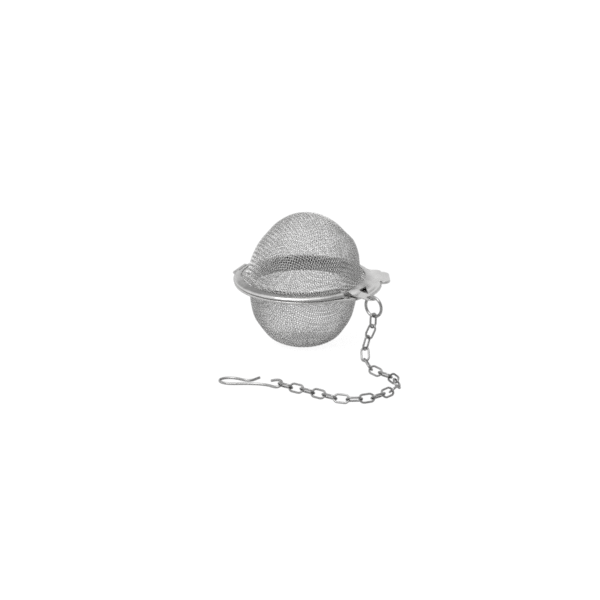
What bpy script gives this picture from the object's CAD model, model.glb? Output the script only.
"""Hinged mesh tea infuser: woven wire halves, pressed rims, jump ring, chain and cup hook.

The infuser stands on the floor, its axis along Z through the origin, with the domed half over
the bowl. The camera looks along +Y, so -Y is the front and -X the left. The cloth is worked out
in millimetres and turned to metres in cloth_object(); everything else is in metres.
"""
import math
import bpy
import numpy as np
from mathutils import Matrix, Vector


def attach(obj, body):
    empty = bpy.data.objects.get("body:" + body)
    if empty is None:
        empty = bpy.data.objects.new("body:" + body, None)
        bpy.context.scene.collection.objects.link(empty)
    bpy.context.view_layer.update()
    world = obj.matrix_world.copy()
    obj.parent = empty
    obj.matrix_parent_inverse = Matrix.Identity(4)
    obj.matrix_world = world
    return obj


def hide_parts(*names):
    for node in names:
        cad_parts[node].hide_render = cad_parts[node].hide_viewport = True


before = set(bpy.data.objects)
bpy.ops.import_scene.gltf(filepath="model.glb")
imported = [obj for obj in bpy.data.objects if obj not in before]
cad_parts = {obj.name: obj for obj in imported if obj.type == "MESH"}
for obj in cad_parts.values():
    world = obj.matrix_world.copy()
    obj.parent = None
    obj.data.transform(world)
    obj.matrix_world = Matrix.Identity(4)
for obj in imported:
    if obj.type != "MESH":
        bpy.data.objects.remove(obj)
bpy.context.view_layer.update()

MM = 0.001

# ------------------------------------------------------------------ cloth sizes, mm
PITCH = 0.92               # wire spacing
WIRE_RADIUS = 0.110
WIRE_SIDES = 6
TRIM_RADIUS = 23.25        # where the cloth is cut off on the brim

# Stiffness of the net while it is relaxed
STRETCH = 0.5              # how firmly wires keep their spacing
SHEAR = 0.05               # how firmly the crossings hold square
BEND = 0.20                # how firmly the wires hold straight
FORCE_STEP = 0.2           # share of the spring force taken per step
RELAX_LEVELS = ((4, 700), (2, 200), (1, 60))   # net spacing in pitches, steps
TINY = 1e-9                # keeps divisions away from zero

# Middle lines of the cloth, (radius, height), from the pole out past the trimmed edge
DOME_PROFILE = [
    (0, 47.80), (2.6, 47.62), (4.6, 47.18), (6.4, 46.52), (8.1, 45.68), (11.35, 43.42),
    (13.95, 40.50), (16.95, 37.00), (18.80, 33.00), (19.62, 29.40), (20.08, 27.20),
    (20.45, 26.30), (21.00, 25.70), (21.60, 25.30), (22.20, 24.97), (22.70, 24.72),
    (23.40, 24.56), (26.0, 24.50), (33.0, 24.50), (44.0, 24.50)]
BOWL_PROFILE = [
    (0, 0.235), (3.2, 0.235), (6.4, 0.26), (9.5, 0.94), (12.67, 2.83), (15.05, 5.80),
    (17.58, 10.05), (18.78, 14.53), (19.38, 18.63), (19.68, 20.65), (20.22, 21.87),
    (21.20, 22.45), (22.40, 22.67), (23.40, 22.74), (26.0, 22.78), (33.0, 22.8),
    (44.0, 22.8)]

# Sideways lean of the dome towards +X: heights, and the shift at each
LEAN_HEIGHTS = [24.6, 25.6, 29, 33, 37, 40.5, 43.5, 45.8, 48.2]
LEAN_SHIFTS = [0, 0.05, 0.55, 1.10, 1.42, 1.15, 1.05, 1.0, 1.1]

# Unevenness of the pressing: depth, lobes round the axis, twist per mm of height, phase
DOME_WAVES = [(0.10, 3, 0.16, 0), (0.07, 5, -0.23, 1.3), (0.05, 8, 0.31, 0.4)]
BOWL_WAVES = [(0.08, 3, -0.2, 0.6), (0.06, 5, 0.27, 2.1), (0.04, 9, -0.35, 0)]


# ------------------------------------------------------------------ mesh helpers
def cloth_object(name, verts, quads, tris, body, material):
    """A smooth mesh object from arrays in millimetres; quads (n, 4), tris (m, 3)."""
    mesh = bpy.data.meshes.new(name)
    mesh.vertices.add(len(verts))
    mesh.vertices.foreach_set("co", (verts * MM).astype(np.float32).ravel())
    loops = np.concatenate([quads.ravel(), tris.ravel()]).astype(np.int32)
    totals = np.repeat([4, 3], [len(quads), len(tris)]).astype(np.int32)
    starts = (np.cumsum(totals) - totals).astype(np.int32)
    mesh.loops.add(len(loops))
    mesh.loops.foreach_set("vertex_index", loops)
    mesh.polygons.add(len(starts))
    mesh.polygons.foreach_set("loop_start", starts)
    mesh.polygons.foreach_set("loop_total", totals)
    mesh.polygons.foreach_set("use_smooth", np.ones(len(starts), dtype=bool))
    mesh.update(calc_edges=True)
    mesh.validate()
    ob = bpy.data.objects.new(name, mesh)
    bpy.context.scene.collection.objects.link(ob)
    mesh.materials.append(material)
    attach(ob, body)
    return ob


def tubes(lines, radius, sides):
    """Closed round tubes along many lines, each a pair of (n, 3) arrays: points and normals.

    Each tube has its rings first, then the two end centres.
    """
    verts, quads, tris = [], [], []
    base = 0
    angle = np.arange(sides) * 2 * math.pi / sides
    cos, sin = np.cos(angle), np.sin(angle)
    ring = np.arange(sides)
    following = (ring + 1) % sides
    for points, normals in lines:
        count = len(points)
        tangent = np.gradient(points, axis=0)
        tangent /= np.linalg.norm(tangent, axis=1)[:, None] + 1e-12
        side = np.cross(tangent, normals)
        side /= np.linalg.norm(side, axis=1)[:, None] + 1e-12
        upward = np.cross(side, tangent)
        rings = (points[:, None, :] + radius * (upward[:, None, :] * cos[None, :, None]
                                                + side[:, None, :] * sin[None, :, None]))
        verts += [rings.reshape(-1, 3), points[[0, -1]]]
        i = np.arange(count - 1)[:, None] * sides
        wall = np.stack([i + ring, i + following, i + sides + following, i + sides + ring],
                        axis=2)
        quads.append((wall.reshape(-1, 4) + base)[:, ::-1])
        start_centre = base + count * sides
        last_ring = base + (count - 1) * sides
        tris.append(np.stack([np.full(sides, start_centre), base + following, base + ring],
                             1)[:, ::-1])
        tris.append(np.stack([np.full(sides, start_centre + 1), last_ring + ring,
                              last_ring + following], 1)[:, ::-1])
        base += count * sides + 2
    return np.concatenate(verts), np.concatenate(quads), np.concatenate(tris)


# ------------------------------------------------------------------ pressed surface
def resample(profile, step=0.12, span_samples=24):
    """Smooth line through (radius, height) points: Catmull-Rom, evenly spaced.

    Returns arc length, radius and height.
    """
    points = np.asarray(profile, float)
    padded = np.vstack([2 * points[0] - points[1], points, 2 * points[-1] - points[-2]])
    pieces = []
    for k in range(len(points) - 1):
        p0, p1, p2, p3 = padded[k:k + 4]
        gaps = [np.linalg.norm(b - a) ** 0.5 for a, b in ((p0, p1), (p1, p2), (p2, p3))]
        t0, t1, t2, t3 = 0, *np.cumsum(gaps)
        t = t1 + np.linspace(0, 1, span_samples, endpoint=False)[:, None] * (t2 - t1)

        def blend(start, end, t_start, t_end):
            return ((t_end - t) / (t_end - t_start) * start
                    + (t - t_start) / (t_end - t_start) * end)

        a1, a2, a3 = blend(p0, p1, t0, t1), blend(p1, p2, t1, t2), blend(p2, p3, t2, t3)
        b1, b2 = blend(a1, a2, t0, t2), blend(a2, a3, t1, t3)
        pieces.append(blend(b1, b2, t1, t2))
    pieces.append(points[-1:])
    dense = np.vstack(pieces)
    travel = np.concatenate([[0], np.cumsum(np.linalg.norm(np.diff(dense, axis=0), axis=1))])
    arc = np.linspace(0, travel[-1], int(travel[-1] / step) + 1)
    return arc, np.interp(arc, travel, dense[:, 0]), np.interp(arc, travel, dense[:, 1])


class Surface:
    """Surface of revolution, addressed by flat (x, y).

    The distance of (x, y) from the origin is the arc length from the pole.
    """

    def __init__(self, profile):
        self.arc, self.radius, self.height = resample(profile)
        self.radius_slope = np.gradient(self.radius, self.arc)
        self.height_slope = np.gradient(self.height, self.arc)

    def at(self, x, y):
        """Arc length, radius and point in space."""
        arc = np.hypot(x, y) + TINY
        radius = np.interp(arc, self.arc, self.radius)
        height = np.interp(arc, self.arc, self.height)
        return arc, radius, np.stack([radius * x / arc, radius * y / arc, height], -1)

    def slope(self, arc):
        """Change of radius and of height along the profile."""
        return (np.interp(arc, self.arc, self.radius_slope),
                np.interp(arc, self.arc, self.height_slope))


# ------------------------------------------------------------------ relaxing the net
ALL, HEAD, TAIL = slice(None), slice(None, -1), slice(1, None)
WIRE_ENDS = (((HEAD, ALL), (TAIL, ALL)), ((ALL, HEAD), (ALL, TAIL)))
DIAGONAL_ENDS = (((HEAD, HEAD), (TAIL, TAIL)), ((TAIL, HEAD), (HEAD, TAIL)))


def refine(grid):
    """Twice as many grid lines, by the four-point rule."""
    for axis in (0, 1):
        grid = np.moveaxis(grid, axis, 0)
        padded = np.concatenate([2 * grid[:1] - grid[1:2], grid, 2 * grid[-1:] - grid[-2:-1]])
        finer = np.empty((2 * len(grid) - 1,) + grid.shape[1:])
        finer[::2] = grid
        finer[1::2] = (-padded[:-3] + 9 * padded[1:-2] + 9 * padded[2:-1] - padded[3:]) / 16
        grid = np.moveaxis(finer, 0, axis)
    return grid


def add_springs(force, points, ends, length, firmness, live):
    first, second = ends
    span = points[second] - points[first]
    distance = np.linalg.norm(span, axis=-1, keepdims=True) + TINY
    pull = firmness * span * (1 - length / distance) * live[..., None]
    force[first] += pull
    force[second] -= pull


def laplacian(field):
    """Mean of the four neighbours less the point itself; loses the outermost points."""
    return (field[2:, 1:-1] + field[:-2, 1:-1] + field[1:-1, 2:]
            + field[1:-1, :-2]) / 4 - field[1:-1, 1:-1]


def relax_step(surface, x, y, live, pitch):
    arc, radius, points = surface.at(x, y)
    force = np.zeros_like(points)
    for ends in WIRE_ENDS:
        add_springs(force, points, ends, length=pitch, firmness=STRETCH,
                    live=live[ends[0]] & live[ends[1]])
    # the crossings resist shear, which keeps the cells from closing up
    whole_cell = live[:-1, :-1] & live[1:, 1:] & live[1:, :-1] & live[:-1, 1:]
    for ends in DIAGONAL_ENDS:
        add_springs(force, points, ends, length=pitch * 1.41421, firmness=SHEAR,
                    live=whole_cell)
    force = FORCE_STEP * force
    # and the wires resist sharp bends
    force[2:-2, 2:-2] -= BEND * laplacian(laplacian(points))
    slope_r, slope_z = surface.slope(arc)
    cos, sin = x / arc, y / arc
    outward = (force[..., 0] * slope_r * cos + force[..., 1] * slope_r * sin
               + force[..., 2] * slope_z)
    around = -force[..., 0] * sin + force[..., 1] * cos
    # a step round the axis is longer on the flat than on the narrower surface
    widen = np.clip(arc / np.maximum(radius, 0.2), 1.0, 1.8)
    return (x + live * (outward * cos - around * widen * sin),
            y + live * (outward * sin + around * widen * cos))


def relax_net(surface, trim_arc, turn):
    """Flat x and y of the crossings, and which of them lie on the surface.

    The net is relaxed coarse first, then halved twice.
    """
    reach = trim_arc * 1.20
    half_count = 4 * (int(reach / PITCH / 4) + 1)
    x = y = None
    for spacing, steps in RELAX_LEVELS:
        if x is None:
            count = half_count // spacing
            places = np.arange(-count, count + 1) * (PITCH * spacing)
            rows, columns = np.meshgrid(places, places, indexing="ij")
            cos, sin = math.cos(turn), math.sin(turn)
            x, y = rows * cos - columns * sin, rows * sin + columns * cos
        else:
            x, y = refine(x), refine(y)
        live = np.hypot(x, y) < surface.arc[-1] - 0.5
        for _ in range(steps):
            x, y = relax_step(surface, x, y, live, PITCH * spacing)
    return x, y, live


# ------------------------------------------------------------------ weaving the wires
def trim_point(inner, outer, trim_arc):
    """Where inner to outer meets the trimmed edge; None if hardly past inner."""
    arc_in, arc_out = math.hypot(*inner), math.hypot(*outer)
    if arc_out <= arc_in:
        return None
    share = min(1.0, (trim_arc - arc_in) / (arc_out - arc_in))
    if share <= 0.15:
        return None
    return [a + (b - a) * share for a, b in zip(inner, outer)]


def weave_wire(surface, row_x, row_y, row_live, row, side, trim_arc, warp):
    """One wire's points and normals, passing over and under; None if it is too short."""
    samples = np.arange(0, len(row_x) - 1, 0.5) + 0.25      # two samples a pitch
    low = np.floor(samples).astype(int)
    share = samples - low
    x = row_x[low] * (1 - share) + row_x[low + 1] * share
    y = row_y[low] * (1 - share) + row_y[low + 1] * share
    live = row_live[low] & row_live[low + 1]
    inside = np.nonzero(live & (np.hypot(x, y) < trim_arc))[0]
    if len(inside) < 3:
        return None
    first, last = inside[0], inside[-1]
    run = slice(first, last + 1)
    run_x, run_y = x[run], y[run]
    crossing = np.round(samples[run]).astype(int) + row
    lift = side * np.where(crossing % 2 == 0, 1.0, -1.0)
    # run each end on to the trimmed edge
    for end, beyond in ((first, first - 1), (last, last + 1)):
        if not 0 <= beyond < len(x) or not live[beyond]:
            continue
        edge = trim_point((x[end], y[end]), (x[beyond], y[beyond]), trim_arc)
        if edge:
            place, copied = (0, 0) if beyond < end else (len(run_x), -1)
            run_x = np.insert(run_x, place, edge[0])
            run_y = np.insert(run_y, place, edge[1])
            lift = np.insert(lift, place, lift[copied])
    arc, _, points = surface.at(run_x, run_y)
    slope_r, slope_z = surface.slope(arc)
    size = np.hypot(slope_r, slope_z)
    slope_r, slope_z = slope_r / size, slope_z / size
    normals = np.stack([-slope_z * run_x / arc, -slope_z * run_y / arc, slope_r], -1)
    return warp(points + normals * (lift * WIRE_RADIUS)[:, None]), normals


def drape(profile, turn, warp):
    """Square wire cloth pressed over a surface of revolution; yields each set of wires.

    The cloth nearly keeps its wire spacing and gives mostly in shear.
    """
    surface = Surface(profile)
    trim_arc = float(np.interp(TRIM_RADIUS, surface.radius, surface.arc))
    x, y, live = relax_net(surface, trim_arc, turn)
    for kind, side, grids in (("warp", 1.0, (x, y, live)), ("weft", -1.0, (x.T, y.T, live.T))):
        wires = [weave_wire(surface, *rows, row, side, trim_arc, warp)
                 for row, rows in enumerate(zip(*grids))]
        yield kind, [wire for wire in wires if wire is not None]


# ------------------------------------------------------------------ uneven pressing
def waves(table, angle, z):
    return sum(depth * np.sin(lobes * angle + twist * z + phase)
               for depth, lobes, twist, phase in table)


def push_out(points, radius, distance, shift=0.0):
    """Points moved away from the axis, and by shift along X."""
    moved = points.copy()
    moved[:, 0] += shift + distance * points[:, 0] / radius
    moved[:, 1] += distance * points[:, 1] / radius
    return moved


def polar(points):
    return (np.hypot(points[:, 0], points[:, 1]) + TINY,
            np.arctan2(points[:, 1], points[:, 0]), points[:, 2])


def dome_warp(points):
    """The pressed dome leans a little to +X and is not perfectly even."""
    radius, angle, z = polar(points)
    lean = np.interp(z, LEAN_HEIGHTS, LEAN_SHIFTS)
    above_brim = np.clip((z - 25.4) / 4.0, 0, 1)
    bulge = above_brim * waves(DOME_WAVES, angle, z)
    # shallow press ripples low on the left
    left = np.clip((-np.cos(angle - 0.35) - 0.35) / 0.5, 0, 1)
    low = np.exp(-((z - 28.2) / 2.6) ** 2)
    ripple = np.sin(2 * math.pi * z / 1.9 + 2.0 * np.sin(2.2 * angle))
    bulge = bulge + 0.06 * left * low * ripple
    pole_fade = np.clip(radius / 6.0, 0, 1)
    return push_out(points, radius, bulge * pole_fade, shift=lean)


def bowl_warp(points):
    """The bowl is uneven between its flat bottom and its brim."""
    radius, angle, z = polar(points)
    between = np.clip((20.5 - z) / 3.0, 0, 1) * np.clip(z / 4.0, 0, 1)
    return push_out(points, radius, between * waves(BOWL_WAVES, angle, z))


# ------------------------------------------------------------------ shader helpers
class Graph:
    """Short ways to add nodes to a tree. Values may be numbers or output sockets."""

    def __init__(self, tree):
        self.tree = tree
        tree.nodes.clear()

    def feed(self, socket, value):
        if isinstance(value, bpy.types.NodeSocket):
            self.tree.links.new(value, socket)
        else:
            socket.default_value = value

    def node(self, kind, inputs=None, **settings):
        """A node with its settings, and inputs given by name or index."""
        node = self.tree.nodes.new("ShaderNode" + kind)
        for key, value in settings.items():
            setattr(node, key, value)
        for key, value in (inputs or {}).items():
            self.feed(node.inputs[key], value)
        return node

    def calc(self, operation, *values):
        return self.node("Math", dict(enumerate(values)), operation=operation).outputs[0]

    def add(self, a, b):
        return self.calc("ADD", a, b)

    def sub(self, a, b):
        return self.calc("SUBTRACT", a, b)

    def mul(self, a, b):
        return self.calc("MULTIPLY", a, b)

    def mix(self, a, b, share):
        return self.node("Mix", {2: a, 3: b, 0: share}, data_type="FLOAT").outputs[0]

    def ramp(self, value, stops):
        """Grey levels from (position, level) stops."""
        node = self.node("ValToRGB", {0: value})
        elements = node.color_ramp.elements
        while len(elements) > 1:
            elements.remove(elements[0])
        for k, (position, level) in enumerate(stops):
            element = elements.new(position) if k else elements[0]
            element.position = position
            element.color = (level, level, level, 1)
        return node.outputs[0]

    def noise(self, vector, scale, detail, rough, distort=0.0):
        return self.node("TexNoise", {"Scale": scale, "Detail": detail, "Roughness": rough,
                                      "Distortion": distort, "Vector": vector}).outputs[0]

    def smooth(self, value, start, end, from_level=0.0, to_level=1.0):
        """Smooth change of level as value goes from start to end."""
        return self.node("MapRange", {"Value": value, "From Min": start, "From Max": end,
                                      "To Min": from_level, "To Max": to_level},
                         interpolation_type="SMOOTHSTEP").outputs[0]

    def window(self, value, low, high, soft):
        """1 between low and high, with soft edges."""
        rise = self.smooth(value, low - soft, low + soft)
        fall = self.smooth(value, high - soft, high + soft, from_level=1.0, to_level=0.0)
        return self.mul(rise, fall)

    def coords(self, kind="Object"):
        return self.node("TexCoord").outputs[kind]

    def split(self, vector):
        return self.node("SeparateXYZ", {0: vector}).outputs

    def radius(self, x, y):
        return self.calc("SQRT", self.add(self.mul(x, x), self.mul(y, y)))

    def bump(self, height, strength, distance, normal=None):
        inputs = {"Strength": strength, "Distance": distance, "Height": height}
        if normal:
            inputs["Normal"] = normal
        return self.node("Bump", inputs).outputs[0]

    def tint(self, level, green, blue):
        """Colour of the given level with its green and blue scaled."""
        return self.node("CombineColor", {0: level, 1: self.mul(level, green),
                                          2: self.mul(level, blue)}).outputs[0]

    def turned_coords(self, across, around):
        """(radius, angle, height) about Z, scaled, and the plain object coordinates."""
        coords = self.coords()
        x, y, z = self.split(coords)
        radius = self.radius(x, y)
        angle = self.calc("ARCTAN2", y, x)
        turned = self.node("CombineXYZ", {0: self.mul(radius, across),
                                          1: self.mul(angle, around),
                                          2: self.mul(z, across)})
        return turned.outputs[0], coords


def new_material(name):
    """Material, its graph, its output node and its Principled shader."""
    material = bpy.data.materials.new(name)
    material.use_nodes = True
    graph = Graph(material.node_tree)
    output = graph.node("OutputMaterial")
    shader = graph.node("BsdfPrincipled")
    graph.feed(output.inputs[0], shader.outputs[0])
    return material, graph, output, shader


# ------------------------------------------------------------------ steel
# Hairline scratches lying every way: rotation and scale of each stretched noise
SCRATCHES = (((0.4, 0.0, 0.9), 3120.0), ((1.2, 0.3, -0.6), 2580.0), ((2.3, 0.6, 0.2), 3660.0))


def scratches(graph, coords):
    """Thin bands of three stretched noises, merged."""
    layers = []
    for rotation, scale in SCRATCHES:
        stretched = graph.node("Mapping", {"Rotation": rotation, "Scale": (1.0, 0.06, 0.06),
                                           "Vector": coords}).outputs[0]
        streaks = graph.noise(stretched, scale=scale, detail=1.0, rough=0.4)
        layers.append(graph.ramp(streaks, [(0.0, 0.0), (0.655, 0.0), (0.675, 1.0), (0.70, 0.0)]))
    pair = graph.calc("MAXIMUM", layers[0], layers[1])
    return graph.calc("MAXIMUM", pair, layers[2])


def shade_unpolished(graph, level, coords, haze, wall, crease):
    """Darkens the inward-facing bore wall, and the top of a brim next to the cloth."""
    true_normal = graph.node("NewGeometry").outputs["True Normal"]
    x, y, _ = graph.split(coords)
    local_normal = graph.node("VectorTransform", {0: true_normal}, vector_type="NORMAL",
                              convert_from="WORLD", convert_to="OBJECT").outputs[0]
    normal_x, normal_y, normal_z = graph.split(local_normal)
    radius = graph.radius(x, y)
    facing = graph.add(graph.mul(x, normal_x), graph.mul(y, normal_y))
    inward = graph.calc("LESS_THAN", facing, graph.mul(radius, -0.6))
    bore = graph.mul(inward, graph.calc("LESS_THAN", radius, 0.0195))
    level = graph.mul(level, graph.mix(1.0, wall, bore))
    ragged_radius = graph.add(radius, graph.mul(graph.sub(haze, 0.5), 0.004))
    near_cloth = graph.smooth(ragged_radius, start=0.0216, end=0.0268, from_level=crease)
    top = graph.calc("GREATER_THAN", normal_z, 0.6)
    return graph.mul(level, graph.mix(1.0, near_cloth, top))


def sheet_steel(name, tone, rough, wall, grain=1.0, dull=0.0, crease=1.0):
    """Pressed stainless sheet: fine turned grain, polish haze, hairline scratches.

    wall darkens the drawn bore wall, which stays unpolished, and crease the top of a brim
    next to the cloth, where the polishing wheel doesn't reach.
    """
    material, graph, _, shader = new_material(name)
    grain_coords, coords = graph.turned_coords(across=9000.0, around=14.0)
    fine = graph.noise(grain_coords, scale=1.0, detail=4.0, rough=0.6)
    band_coords, _ = graph.turned_coords(across=1600.0, around=3.0)
    bands = graph.noise(band_coords, scale=1.0, detail=2.0, rough=0.5)
    haze = graph.noise(coords, scale=260.0, detail=3.0, rough=0.55, distort=0.4)
    spots = graph.noise(coords, scale=1500.0, detail=2.0, rough=0.6)
    scratch = scratches(graph, coords)

    hazy = graph.ramp(haze, [(0.35, 0.0), (0.7, 1.0)])
    roughness = graph.add(rough - 0.05, graph.mul(hazy, 0.11))
    roughness = graph.add(roughness, graph.mul(fine, 0.08 * grain))
    roughness = graph.add(roughness, graph.mul(scratch, 0.15))
    graph.feed(shader.inputs["Roughness"], graph.add(roughness, dull))

    level = graph.mix(tone * 0.93, tone * 1.05, graph.ramp(haze, [(0.3, 0.0), (0.75, 1.0)]))
    level = graph.mul(level, graph.mix(0.96, 1.03, bands))
    spotted = graph.ramp(spots, [(0.0, 0.0), (0.66, 0.0), (0.78, 1.0)])
    level = graph.sub(level, graph.mul(spotted, 0.10))
    level = shade_unpolished(graph, level, coords, haze, wall, crease)
    graph.feed(shader.inputs["Base Color"], graph.tint(level, green=0.995, blue=0.985))
    shader.inputs["Metallic"].default_value = 1.0
    shader.inputs["Anisotropic"].default_value = 0.35 * grain

    relief = graph.add(graph.mul(fine, 0.6 * grain), graph.mul(scratch, -0.5))
    relief = graph.add(relief, graph.mul(haze, 0.8))
    rounded = graph.node("Bevel", {"Radius": 0.00012}, samples=4).outputs[0]
    # thin sheet is never quite flat: slow waves left by the press
    slow = graph.noise(coords, scale=95.0, detail=1.0, rough=0.4)
    waved = graph.bump(slow, strength=1.0, distance=0.00045, normal=rounded)
    graph.feed(shader.inputs["Normal"],
               graph.bump(relief, strength=0.35, distance=0.000012, normal=waved))
    return material


def wire_steel(name, tone, rough, spread):
    """Drawn stainless wire: fine grain, small pits, patches of polish and of haze.

    spread is how much the roughness varies between the patches.
    """
    material, graph, _, shader = new_material(name)
    coords = graph.coords()
    patch = graph.noise(coords, scale=330.0, detail=3.0, rough=0.6, distort=0.5)
    fine = graph.noise(coords, scale=5200.0, detail=4.0, rough=0.65)
    pits = graph.noise(coords, scale=2600.0, detail=2.0, rough=0.6)
    pit = graph.ramp(pits, [(0.0, 0.0), (0.64, 0.0), (0.74, 1.0)])

    hazy = graph.ramp(patch, [(0.3, 0.0), (0.7, 1.0)])
    roughness = graph.add(rough - spread * 0.5, graph.mul(hazy, spread))
    roughness = graph.add(roughness, graph.mul(fine, 0.06))
    roughness = graph.add(roughness, graph.mul(pit, 0.2))
    graph.feed(shader.inputs["Roughness"], roughness)

    level = graph.mix(tone * 0.86, tone * 1.08, graph.ramp(patch, [(0.3, 0.0), (0.72, 1.0)]))
    level = graph.mul(level, graph.mix(0.93, 1.05, fine))
    level = graph.sub(level, graph.mul(pit, 0.14))
    graph.feed(shader.inputs["Base Color"], graph.tint(level, green=0.997, blue=0.99))
    shader.inputs["Metallic"].default_value = 1.0

    relief = graph.sub(graph.mul(fine, 0.8), pit)
    graph.feed(shader.inputs["Normal"], graph.bump(relief, strength=0.4, distance=0.00001))
    return material


CLOTH = wire_steel("woven_stainless_wire", tone=0.70, rough=0.33, spread=0.10)
RIM = sheet_steel("pressed_stainless_sheet", tone=0.65, rough=0.15, wall=0.36)
BRIM = sheet_steel("pressed_stainless_brim", tone=0.67, rough=0.15, wall=0.36, crease=0.58)
COLLAR = sheet_steel("drawn_stainless_collar", tone=0.60, rough=0.24, wall=0.10, grain=1.4,
                     dull=0.04)
WIRE = wire_steel("polished_stainless_wire", tone=0.44, rough=0.17, spread=0.08)
CHAIN = wire_steel("chain_stainless_wire", tone=0.37, rough=0.19, spread=0.10)


# ------------------------------------------------------------------ woven halves
# Name, body, CAD node replaced, profile, turn of the cloth in degrees, unevenness
HALVES = (
    ("dome", "upper_half", "upper_mesh_dome", DOME_PROFILE, -22, dome_warp),
    ("basket", "lower_half", "lower_mesh_basket", BOWL_PROFILE, -20, bowl_warp),
)
for half, body, cad_node, profile, turn, warp in HALVES:
    for kind, wires in drape(profile, math.radians(turn), warp):
        cloth = cloth_object(f"{half}_cloth_{kind}", *tubes(wires, WIRE_RADIUS, WIRE_SIDES),
                             body, CLOTH)
        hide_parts(cad_node)


# ------------------------------------------------------------------ CAD nodes that stay
NODE_MATERIALS = {"upper_rim": BRIM, "lower_rim": RIM, "lower_crimp_ring": RIM,
                  "upper_collar_ring": COLLAR, "jump_ring": WIRE, "cup_hook": WIRE}


def dress(ob, material):
    if not ob.data.materials:
        ob.data.materials.append(material)
    for slot in ob.material_slots:
        slot.material = material


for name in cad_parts:
    material = CHAIN if name.startswith("chain_link") else NODE_MATERIALS.get(name)
    if material:
        dress(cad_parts[name], material)


# ------------------------------------------------------------------ floor
FLOOR_HALF = 3.0
FLOOR_Z = -0.00002         # just under the bowl


def floor_paper():
    material, graph, output, shader = new_material("floor_paper")
    shader.inputs["Roughness"].default_value = 0.95
    shader.inputs["Specular IOR Level"].default_value = 0.05
    coords = graph.coords()
    grain = graph.noise(coords, scale=900.0, detail=4.0, rough=0.6)
    graph.feed(shader.inputs["Normal"], graph.bump(grain, strength=0.08, distance=0.0001))
    # the paper is lit from behind as well, which only the camera sees
    camera_ray = graph.node("LightPath").outputs["Is Camera Ray"]
    shader.inputs["Emission Color"].default_value = (1, 1, 1, 1)
    graph.feed(shader.inputs["Base Color"], graph.mix(0.60, 0.30, camera_ray))
    graph.feed(shader.inputs["Emission Strength"], graph.mul(camera_ray, 0.86))
    # away from the foot the camera sees through it to the same white, so that a chain
    # swung below the table's height stays in view
    x, y, _ = graph.split(coords)
    far = graph.smooth(graph.radius(x, y), start=0.018, end=0.030)
    clear = graph.node("BsdfTransparent")
    blend = graph.node("MixShader", {0: graph.mul(far, camera_ray), 1: shader.outputs[0],
                                     2: clear.outputs[0]})
    graph.feed(output.inputs[0], blend.outputs[0])
    return material


def stage_floor():
    mesh = bpy.data.meshes.new("floor")
    corners = [(x * FLOOR_HALF, y * FLOOR_HALF, FLOOR_Z)
               for x, y in ((-1, -1), (1, -1), (1, 1), (-1, 1))]
    mesh.from_pydata(corners, [], [(0, 1, 2, 3)])
    ob = bpy.data.objects.new("floor", mesh)
    bpy.context.scene.collection.objects.link(ob)
    mesh.materials.append(floor_paper())


stage_floor()


# ------------------------------------------------------------------ world: a light tent
# Walls of the tent: azimuth (-180 to 180 degrees is 0 to 1), brightness
TENT_WALLS = [
    (0.0, 1.10), (0.10, 0.95), (0.16, 0.42), (0.22, 0.46), (0.30, 0.44), (0.37, 0.26),
    (0.44, 0.44), (0.53, 0.50), (0.60, 0.55), (0.66, 1.10), (0.71, 1.10), (0.76, 0.66),
    (0.82, 0.46), (0.87, 0.44), (0.93, 0.86), (1.0, 1.10)]
TENT_TOP = 0.46
SWEEP = 0.95
SOFT_BOX = 1.55
DARK_BAND = 0.28
BELOW_HORIZON = 0.55
BACKDROP = 1.05            # the plain white that the camera sees


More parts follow.
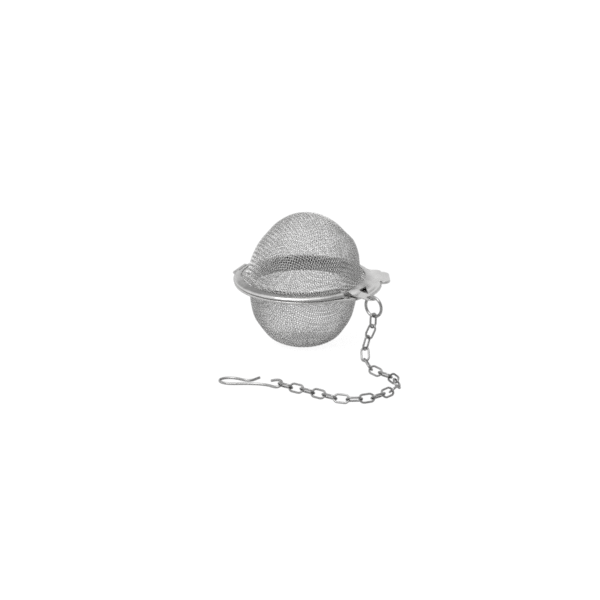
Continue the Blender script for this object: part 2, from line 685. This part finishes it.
def build_world():
    world = bpy.data.worlds.new("studio")
    bpy.context.scene.world = world
    world.use_nodes = True
    graph = Graph(world.node_tree)
    window = graph.window
    output = graph.node("OutputWorld")
    x, y, z = graph.split(graph.coords("Generated"))
    # directions in degrees
    azimuth = graph.mul(graph.calc("ARCTAN2", y, x), 180 / math.pi)
    elevation = graph.mul(graph.calc("ARCSINE", z), 180 / math.pi)

    walls = graph.ramp(graph.add(graph.mul(azimuth, 1 / 360), 0.5), TENT_WALLS)
    tent = graph.mix(walls, TENT_TOP, window(elevation, low=74, high=200, soft=10))
    # a white sweep stands behind the object, and a soft box hangs above it
    sweep = graph.mul(window(elevation, low=-90, high=24, soft=8),
                      window(azimuth, low=12, high=168, soft=10))
    tent = graph.mix(tent, SWEEP, sweep)
    box = graph.mul(window(x, low=-0.42, high=0.34, soft=0.08),
                    window(y, low=-0.60, high=0.22, soft=0.08))
    box = graph.mul(box, window(z, low=0.3, high=2.0, soft=0.1))
    tent = graph.mix(tent, SOFT_BOX, box)
    # a dark band behind, over the sweep
    band = graph.mul(window(elevation, low=27, high=33, soft=4),
                     window(azimuth, low=35, high=98, soft=12))
    tent = graph.mix(tent, DARK_BAND, band)
    # under the horizon the sheet below is mostly in shade
    tent = graph.mix(tent, BELOW_HORIZON, window(elevation, low=-200, high=-4, soft=3))

    lighting = graph.node("Background", {0: tent, 1: 1.0})
    backdrop = graph.node("Background", {0: (1, 1, 1, 1), 1: BACKDROP})
    camera_ray = graph.node("LightPath").outputs["Is Camera Ray"]
    blend = graph.node("MixShader", {0: camera_ray, 1: lighting.outputs[0],
                                     2: backdrop.outputs[0]})
    graph.feed(output.inputs[0], blend.outputs[0])


build_world()


# ------------------------------------------------------------------ light and camera
def area_light(name, location, target, size, power):
    light = bpy.data.lights.new(name, "AREA")
    light.energy = power
    light.size = size
    ob = bpy.data.objects.new(name, light)
    bpy.context.scene.collection.objects.link(ob)
    ob.location = location
    direction = Vector(target) - Vector(location)
    ob.rotation_euler = direction.to_track_quat("-Z", "Y").to_euler()


def add_camera(target, elevation, distance):
    """Camera in front of the target, raised by elevation degrees."""
    data = bpy.data.cameras.new("camera")
    ob = bpy.data.objects.new("camera", data)
    bpy.context.scene.collection.objects.link(ob)
    angle = math.radians(elevation)
    ob.location = Vector(target) + Vector((0, -distance * math.cos(angle),
                                           distance * math.sin(angle)))
    ob.rotation_euler = (math.radians(90 - elevation), 0, 0)
    data.lens = 74.52
    data.sensor_width = 36.0
    data.clip_start = 0.01
    data.clip_end = 20.0
    data.shift_x = -0.00533
    data.shift_y = -0.0311
    bpy.context.scene.camera = ob


area_light("key", location=(-0.22, -0.42, 0.62), target=(0, 0, 0.02), size=0.44, power=1.9)
add_camera(target=(0, 0, 0.0226), elevation=19.0, distance=0.450)

scene = bpy.context.scene
scene.view_settings.view_transform = "Standard"
scene.view_settings.look = "None"
# fine wire cloth keeps its weave: no smoothing pass, and a chosen pixel filter width
scene.cycles.use_denoising = False
scene.cycles.filter_width = 1.8
